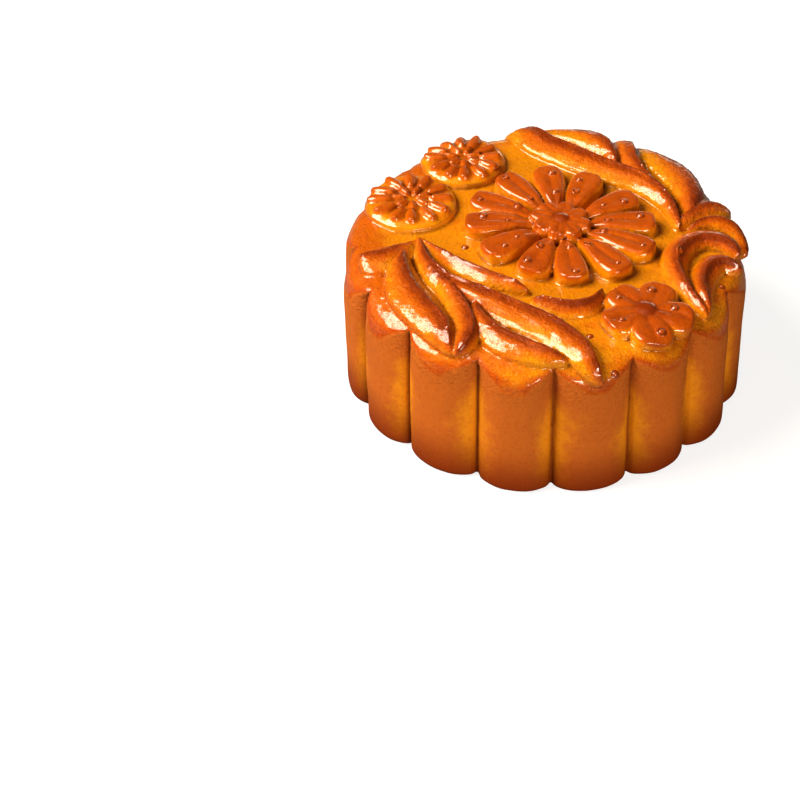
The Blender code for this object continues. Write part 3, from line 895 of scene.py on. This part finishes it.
class MOONCAKE_OT_medallions(bpy.types.Operator):
    """Lays the two round medallions, each with a fine blossom"""

    bl_idname = "mooncake.medallions"
    bl_label = "Medallions"

    def execute(self, context):
        form = Form(context.scene.cake_sizes)
        petal = blade_blank("petal_blank", 18, 20)
        disc = disc_blank("disc_blank", 12, 72)
        for name, (centre, radius) in MEDALLIONS.items():
            reach = np.array((radius, radius))
            lay_disc(disc, f"relief_{name}_disc", form, centre, radius,
                     lambda reach: 1.6 - 0.7 * smooth_step(reach, 0.86, 1.0), brown=0.3)
            set_round(petal, f"relief_{name}_petal", form, centre, reach, 12, (0.36, 0.9), 2.9,
                      turn=0.1, belly=0.62, fullness=0.5, lift=0.96, section=rounded_top)
            set_round(petal, f"relief_{name}_heart", form, centre, reach, 7, (0.1, 0.42), 1.9,
                      belly=0.62, fullness=0.5, lift=0.96, section=rounded_top)
        bpy.data.objects.remove(petal, do_unlink=True)
        bpy.data.objects.remove(disc, do_unlink=True)
        return {"FINISHED"}


def neighbour_average(values, edges, degree):
    """Each vertex's mean over its neighbours."""
    total = np.zeros_like(values)
    for axis in range(values.shape[1]):
        total[:, axis] = np.bincount(edges[:, 0], values[edges[:, 1], axis], len(values))
        total[:, axis] += np.bincount(edges[:, 1], values[edges[:, 0], axis], len(values))
    return total / degree[:, None]


def mesh_edges(piece):
    """The ends of each edge and the number of edges at each vertex."""
    edges = np.empty(len(piece.data.edges) * 2, int)
    piece.data.edges.foreach_get("vertices", edges)
    degree = np.bincount(edges, minlength=len(piece.data.vertices)).astype(float)
    return edges.reshape(-1, 2), degree


def hollowness(piece, rounds):
    """How deep each vertex lies in a hollow, in millimetres: below zero on a hump."""
    places = read_places(piece)
    edges, degree = mesh_edges(piece)
    normals = np.empty(len(places) * 3)
    piece.data.vertex_normals.foreach_get("vector", normals)
    smooth = places.copy()
    for _ in range(rounds):
        smooth = 0.5 * smooth + 0.5 * neighbour_average(smooth, edges, degree)
    return ((smooth - places) * normals.reshape(-1, 3)).sum(axis=1) / MM


class MOONCAKE_OT_bake(bpy.types.Operator):
    """Fuses the cake and its crown into one skin, makes it uneven and gives it its finish"""

    bl_idname = "mooncake.bake"
    bl_label = "Bake"

    def execute(self, context):
        sizes = context.scene.cake_sizes
        form = Form(sizes)
        cake = bpy.data.objects["plain_cake"]
        plain = BVHTree.FromPolygons(
            [vertex.co for vertex in cake.data.vertices],
            [tuple(face.vertices) for face in cake.data.polygons])
        deselect()
        for piece in bpy.data.objects:
            if piece.name.startswith("relief_"):
                piece.select_set(True)
        cake.select_set(True)
        context.view_layer.objects.active = cake
        bpy.ops.object.join()
        cake.name = cake.data.name = "crust"
        paint = self.read_paint(cake)
        finish_modifier(cake, "REMESH", mode="VOXEL", voxel_size=sizes.grain, use_smooth_shade=True)
        finish_modifier(cake, "SMOOTH", factor=0.5, iterations=3)
        self.mark(cake, form, plain, paint)
        share = sizes.triangles / (2.0 * len(cake.data.polygons))
        if share < 1.0:
            finish_modifier(cake, "DECIMATE", ratio=share)
        self.roughen(cake)
        pick(cake)
        bpy.ops.object.shade_smooth()
        tint_group(context.scene.cake_colours)
        grain_group()
        glaze_group()
        cake.data.materials.clear()
        cake.data.materials.append(crust_material(sizes, context.scene.cake_colours))
        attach(cake, BODY)
        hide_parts(NODE)
        return {"FINISHED"}

    def read_paint(self, cake):
        """A finder for the crown pieces' vertices, with the brownness and wrinkles of each."""
        paint = np.zeros((2, len(cake.data.vertices)), np.float32)
        for row, name in zip(paint, ("brown", "wrinkled")):
            cake.data.attributes[name].data.foreach_get("value", row)
        finder = KDTree(len(cake.data.vertices))
        for index, vertex in enumerate(cake.data.vertices):
            if paint[0, index] > 0.0:
                finder.insert(vertex.co, index)
        finder.balance()
        return finder, paint

    def roughen(self, cake):
        """Presses slow waves, small dimples and wrinkles into the skin."""
        masks = np.zeros((2, len(cake.data.vertices)), np.float32)
        for row, name in zip(masks, ("wrinkled", "wall")):
            cake.data.attributes[name].data.foreach_get("value", row)
        crown = 1.0 - masks[1]
        for name, size, depth, weights in (
                ("waves", 9.0, 0.35, None), ("dimples", 1.7, 0.17, crown), ("wrinkles", 0.8, 0.24, crown * masks[0])):
            texture = bpy.data.textures.new(name, "CLOUDS")
            texture.noise_scale = size * MM
            where = ""
            if weights is not None:
                where = cake.vertex_groups.new(name=name).name
                for index in np.flatnonzero(weights > 0.02):
                    cake.vertex_groups[where].add([int(index)], float(weights[index]), "REPLACE")
            finish_modifier(cake, "DISPLACE", texture=texture, strength=depth * MM, mid_level=0.5,
                            texture_coords="LOCAL", vertex_group=where)
        cake.vertex_groups.clear()
        places = read_places(cake)
        places[:, 2] = np.maximum(places[:, 2], 0.0)
        write_places(cake, places)

    def mark(self, cake, form, plain, paint):
        """Writes the masks that the finish reads."""
        finder, paint = paint
        places = read_places(cake)
        raised = np.array([plain.find_nearest(Vector(place))[3] for place in places]) / MM
        reach = np.hypot(places[:, 0], places[:, 1]) / MM
        height = places[:, 2] / MM
        above = smooth_step(height, 21.0, 25.0)
        raised = np.clip(raised / form.relief, 0.0, 1.2) * above
        lobe = smooth_step(reach, 34.0, 36.5)
        tone = np.stack((np.zeros(len(places)), (0.45 + 0.25 * lobe) * above), axis=1)
        for index in np.flatnonzero(raised > 0.12):
            tone[index] = paint[:, finder.find(places[index])[1]]
        edges, degree = mesh_edges(cake)
        for _ in range(3):
            tone = 0.4 * tone + 0.6 * neighbour_average(tone, edges, degree)
        fine = hollowness(cake, 8)
        broad = hollowness(cake, 60)
        angle, even = form.even_angle(places), form.even_height(places)
        depth = form.flute_depth(angle)
        past = form.past_lip(angle, even) + 0.05 * np.sin(31.0 * angle) + 0.04 * np.sin(53.0 * angle + 1.0)
        ripple = 0.5 * np.sin(5.0 * angle + 1.0) + 0.35 * np.sin(13.0 * angle)
        write_mask(cake, "raised", raised)
        write_mask(cake, "tone", tone[:, 0])
        write_mask(cake, "wrinkled", tone[:, 1])
        write_mask(cake, "wall", (1.0 - smooth_step(past, -0.1, 0.25)) * (1.0 - smooth_step(raised, 0.08, 0.2)))
        write_mask(cake, "crest", 1.0 - depth / depth.max() + 0.7 * smooth_step(even, 17.0, 25.0))
        # Valley grooves and fine creases: the crease mask paints shade there, partly browning.
        valley = (form.groove_depth(angle) / form.groove) ** 2 * (1.0 - smooth_step(past, 0.0, 0.3))
        write_mask(cake, "crease", np.maximum(smooth_step(fine, 0.03, 0.14), 0.85 * valley))
        # Hollows: the tint paints shade there and a golden bounce glow in the field.
        write_mask(cake, "hollow", smooth_step(broad, 0.05, 0.55))
        write_mask(cake, "edge", smooth_step(-fine, 0.02, 0.12))
        bare = 1.0 - np.clip(raised, 0.0, 1.0)
        left = 0.35 + 0.65 * np.clip(np.cos(angle - BULGE_ANGLE), 0.0, 1.0)
        write_mask(cake, "rim", smooth_step(reach + ripple, 29.0, 37.0) * bare * left)
        write_mask(cake, "lip", smooth_step(past, -0.25, 0.0) * (1.0 - smooth_step(past, 0.2, 1.3)) * bare)


class MOONCAKE_OT_blisters(bpy.types.Operator):
    """Raises the little blisters that the glaze leaves on petals and field"""

    bl_idname = "mooncake.blisters"
    bl_label = "Blisters"

    def execute(self, context):
        form = Form(context.scene.cake_sizes)
        crust = bpy.data.objects["crust"]
        skin = BVHTree.FromPolygons(
            [vertex.co for vertex in crust.data.vertices],
            [tuple(face.vertices) for face in crust.data.polygons])
        blank = disc_blank("blister_blank", 6, 18)
        made = []
        for number, spot in enumerate(self.spots()):
            above = form.settle(form.wrap(np.array(spot[:1]), np.array(spot[1:]), np.array((6.0,))))[0]
            hit, normal = skin.ray_cast(Vector(above), Vector((0.0, 0.0, -1.0)))[:2]
            if hit is not None:
                made.append(self.blister(blank, number, hit, normal))
        bpy.data.objects.remove(blank, do_unlink=True)
        pick(made[0])
        for piece in made:
            piece.select_set(True)
        bpy.ops.object.join()
        made[0].name = made[0].data.name = "blisters"
        bpy.ops.object.shade_smooth()
        made[0].data.materials.append(blister_material())
        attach(made[0], BODY)
        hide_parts(NODE)
        return {"FINISHED"}

    def spots(self):
        """Flat places of the blisters: two on each long petal, some on the blossom and field."""
        for petal in range(12):
            angle = 0.13 + math.tau * petal / 12 + 0.03 * math.sin(2.3 * petal + 0.5)
            ray = FLOWER_REACH * np.array((math.cos(angle), math.sin(angle)))
            side = np.array((-math.sin(angle), math.cos(angle)))
            for share, shift in ((0.52, 0.5), (0.84, 1.3)):
                wander = 0.06 * math.sin(5.1 * petal + 9.0 * share)
                yield FLOWER_CENTRE + ray * (share + wander) + side * shift * math.sin(3.7 * petal + 4.0 * share)
        for petal in range(5):
            angle = 0.4 + math.tau * petal / 5
            yield BLOSSOM_CENTRE + 5.6 * np.array((math.cos(angle + 0.2), math.sin(angle + 0.2)))
        for spot in ((21.6, -19.4), (27.8, -22.6), (24.6, 9.6), (33.5, 7.2), (-12.0, -9.6), (18.6, 21.8)):
            yield np.array(spot)

    def blister(self, blank, number, hit, normal):
        """A low dome in a fine ditch, square to the skin under it."""
        piece = copied(blank, f"blister_{number}")
        disc = read_places(piece)
        radius = 0.9 + 0.16 * math.sin(4.3 * number)
        reach = np.hypot(disc[:, 0], disc[:, 1])
        dome = 0.34 * np.clip(1.0 - (reach / 0.62) ** 2, 0.0, 1.0) ** 0.8 + 0.03
        sunk = np.where(disc[:, 2] > 0.5, dome - 0.12 * smooth_step(reach, 0.85, 1.0), -0.3)
        local = np.stack((disc[:, 0] * radius, disc[:, 1] * radius, sunk), axis=1) * MM
        turn = np.array(normal.to_track_quat("Z", "Y").to_matrix())
        write_places(piece, local @ turn.T + np.array(hit))
        # Painted shade in the ditch round the dome.
        write_mask(piece, "ditch", 0.75 * smooth_step(reach, 0.42, 0.62) * (1.0 - smooth_step(reach, 0.8, 1.0)))
        return piece


class MOONCAKE_OT_stage(bpy.types.Operator):
    """Sets the pale floor, the soft lights and the camera"""

    bl_idname = "mooncake.stage"
    bl_label = "Stage"

    def execute(self, context):
        sizes = context.scene.stage_sizes
        deselect()
        bpy.ops.mesh.primitive_plane_add(size=sizes.floor_size)
        floor = added("floor")
        floor.data.materials.append(self.paper(sizes))
        self.light(context, sizes)
        self.camera(context, sizes)
        context.scene.view_settings.view_transform = "Standard"
        context.scene.view_settings.gamma = 0.8
        return {"FINISHED"}

    def paper(self, sizes):
        """Pale paper that looks white and throws little light back on the cake."""
        material = bpy.data.materials.new("pale_floor")
        material.use_nodes = True
        tree = material.node_tree
        shader = tree.nodes["Principled BSDF"]
        shader.inputs["Base Color"].default_value = (0.25, 0.25, 0.25, 1.0)
        shader.inputs["Roughness"].default_value = 1.0
        shader.inputs["Specular IOR Level"].default_value = 0.0
        glow = node(tree, "ShaderNodeEmission")
        path = node(tree, "ShaderNodeLightPath")
        tree.links.new(math_node(tree, "MULTIPLY", path.outputs["Is Camera Ray"], sizes.floor_glow),
                       glow.inputs["Strength"])
        both = node(tree, "ShaderNodeAddShader")
        tree.links.new(shader.outputs[0], both.inputs[0])
        tree.links.new(glow.outputs[0], both.inputs[1])
        tree.links.new(both.outputs[0], tree.nodes["Material Output"].inputs["Surface"])
        return material

    def light(self, context, sizes):
        world = bpy.data.worlds.new("surroundings")
        world.use_nodes = True
        world.node_tree.nodes["Background"].inputs["Color"].default_value = (1.0, 0.72, 0.4, 1.0)
        world.node_tree.nodes["Background"].inputs["Strength"].default_value = sizes.dome
        context.scene.world = world
        for name, heading, rise, far, size, power in (
                ("key_light", 182.0, 47.0, 0.75, (0.6, 0.5), sizes.key_power),
                ("top_light", 95.0, 82.0, 0.8, (0.4, 0.4), sizes.top_power),
                ("back_light", 72.0, 7.0, 0.9, (0.8, 0.16), sizes.back_power),
                ("front_light", -72.0, 14.0, 0.9, (0.6, 0.2), sizes.front_power)):
            self.soft_box(name, sizes.camera_turn + math.radians(heading), math.radians(rise), far, size, power)

    def soft_box(self, name, heading, rise, far, size, power):
        """A soft box that looks at the cake from a heading and a height."""
        level = far * math.cos(rise)
        place = Vector((level * math.cos(heading), level * math.sin(heading), far * math.sin(rise)))
        aim = (Vector((0.0, 0.0, 0.02)) - place).to_track_quat("-Z", "Y").to_euler()
        bpy.ops.object.light_add(type="AREA", location=place, rotation=aim)
        lamp = bpy.context.active_object
        lamp.name = name
        lamp.data.shape = "ELLIPSE"
        lamp.data.size, lamp.data.size_y = size
        lamp.data.energy = power
        lamp.data.color = (1.0, 0.95, 0.87)

    def camera(self, context, sizes):
        turn, dip = sizes.camera_turn, sizes.camera_elevation
        right = Vector((math.cos(turn), math.sin(turn), 0.0))
        up = Vector((-math.sin(turn) * math.sin(dip), math.cos(turn) * math.sin(dip), math.cos(dip)))
        ahead = Vector((-math.sin(turn) * math.cos(dip), math.cos(turn) * math.cos(dip), -math.sin(dip)))
        place = -(28.66 * MM * right + 7.82 * MM * up + sizes.camera_distance * ahead)
        bpy.ops.object.camera_add(location=place, rotation=(math.pi / 2.0 - dip, 0.0, turn))
        camera = bpy.context.active_object
        camera.name = "camera"
        camera.data.lens = 100.0
        camera.data.sensor_width = 36.0
        camera.data.clip_start = 0.01
        context.scene.camera = camera


class MOONCAKE_PT_panel(bpy.types.Panel):
    """Lists the cake's settings and its steps"""

    bl_idname = "MOONCAKE_PT_panel"
    bl_label = "Mooncake"
    bl_space_type = "VIEW_3D"
    bl_region_type = "UI"
    bl_category = "Mooncake"

    def draw(self, context):
        layout = self.layout
        for group in (context.scene.cake_sizes, context.scene.cake_colours, context.scene.stage_sizes):
            box = layout.box()
            for name in group.__annotations__:
                box.prop(group, name)
        for step in STEPS:
            layout.operator(step.bl_idname)


STEPS = (
    MOONCAKE_OT_plain_cake,
    MOONCAKE_OT_leaf_sprays,
    MOONCAKE_OT_single_leaves,
    MOONCAKE_OT_flower,
    MOONCAKE_OT_round_blossom,
    MOONCAKE_OT_medallions,
    MOONCAKE_OT_bake,
    MOONCAKE_OT_blisters,
    MOONCAKE_OT_stage,
)
SETTINGS = {"cake_sizes": CakeSizes, "cake_colours": CakeColours, "stage_sizes": StageSizes}


def register():
    for kind in (*SETTINGS.values(), *STEPS, MOONCAKE_PT_panel):
        bpy.utils.register_class(kind)
    for name, kind in SETTINGS.items():
        setattr(bpy.types.Scene, name, PointerProperty(type=kind))


def unregister():
    for name in SETTINGS:
        delattr(bpy.types.Scene, name)
    for kind in reversed((*SETTINGS.values(), *STEPS, MOONCAKE_PT_panel)):
        bpy.utils.unregister_class(kind)


def main():
    register()
    for step in STEPS:
        family, name = step.bl_idname.split(".")
        getattr(getattr(bpy.ops, family), name)()


if __name__ == "__main__":
    main()
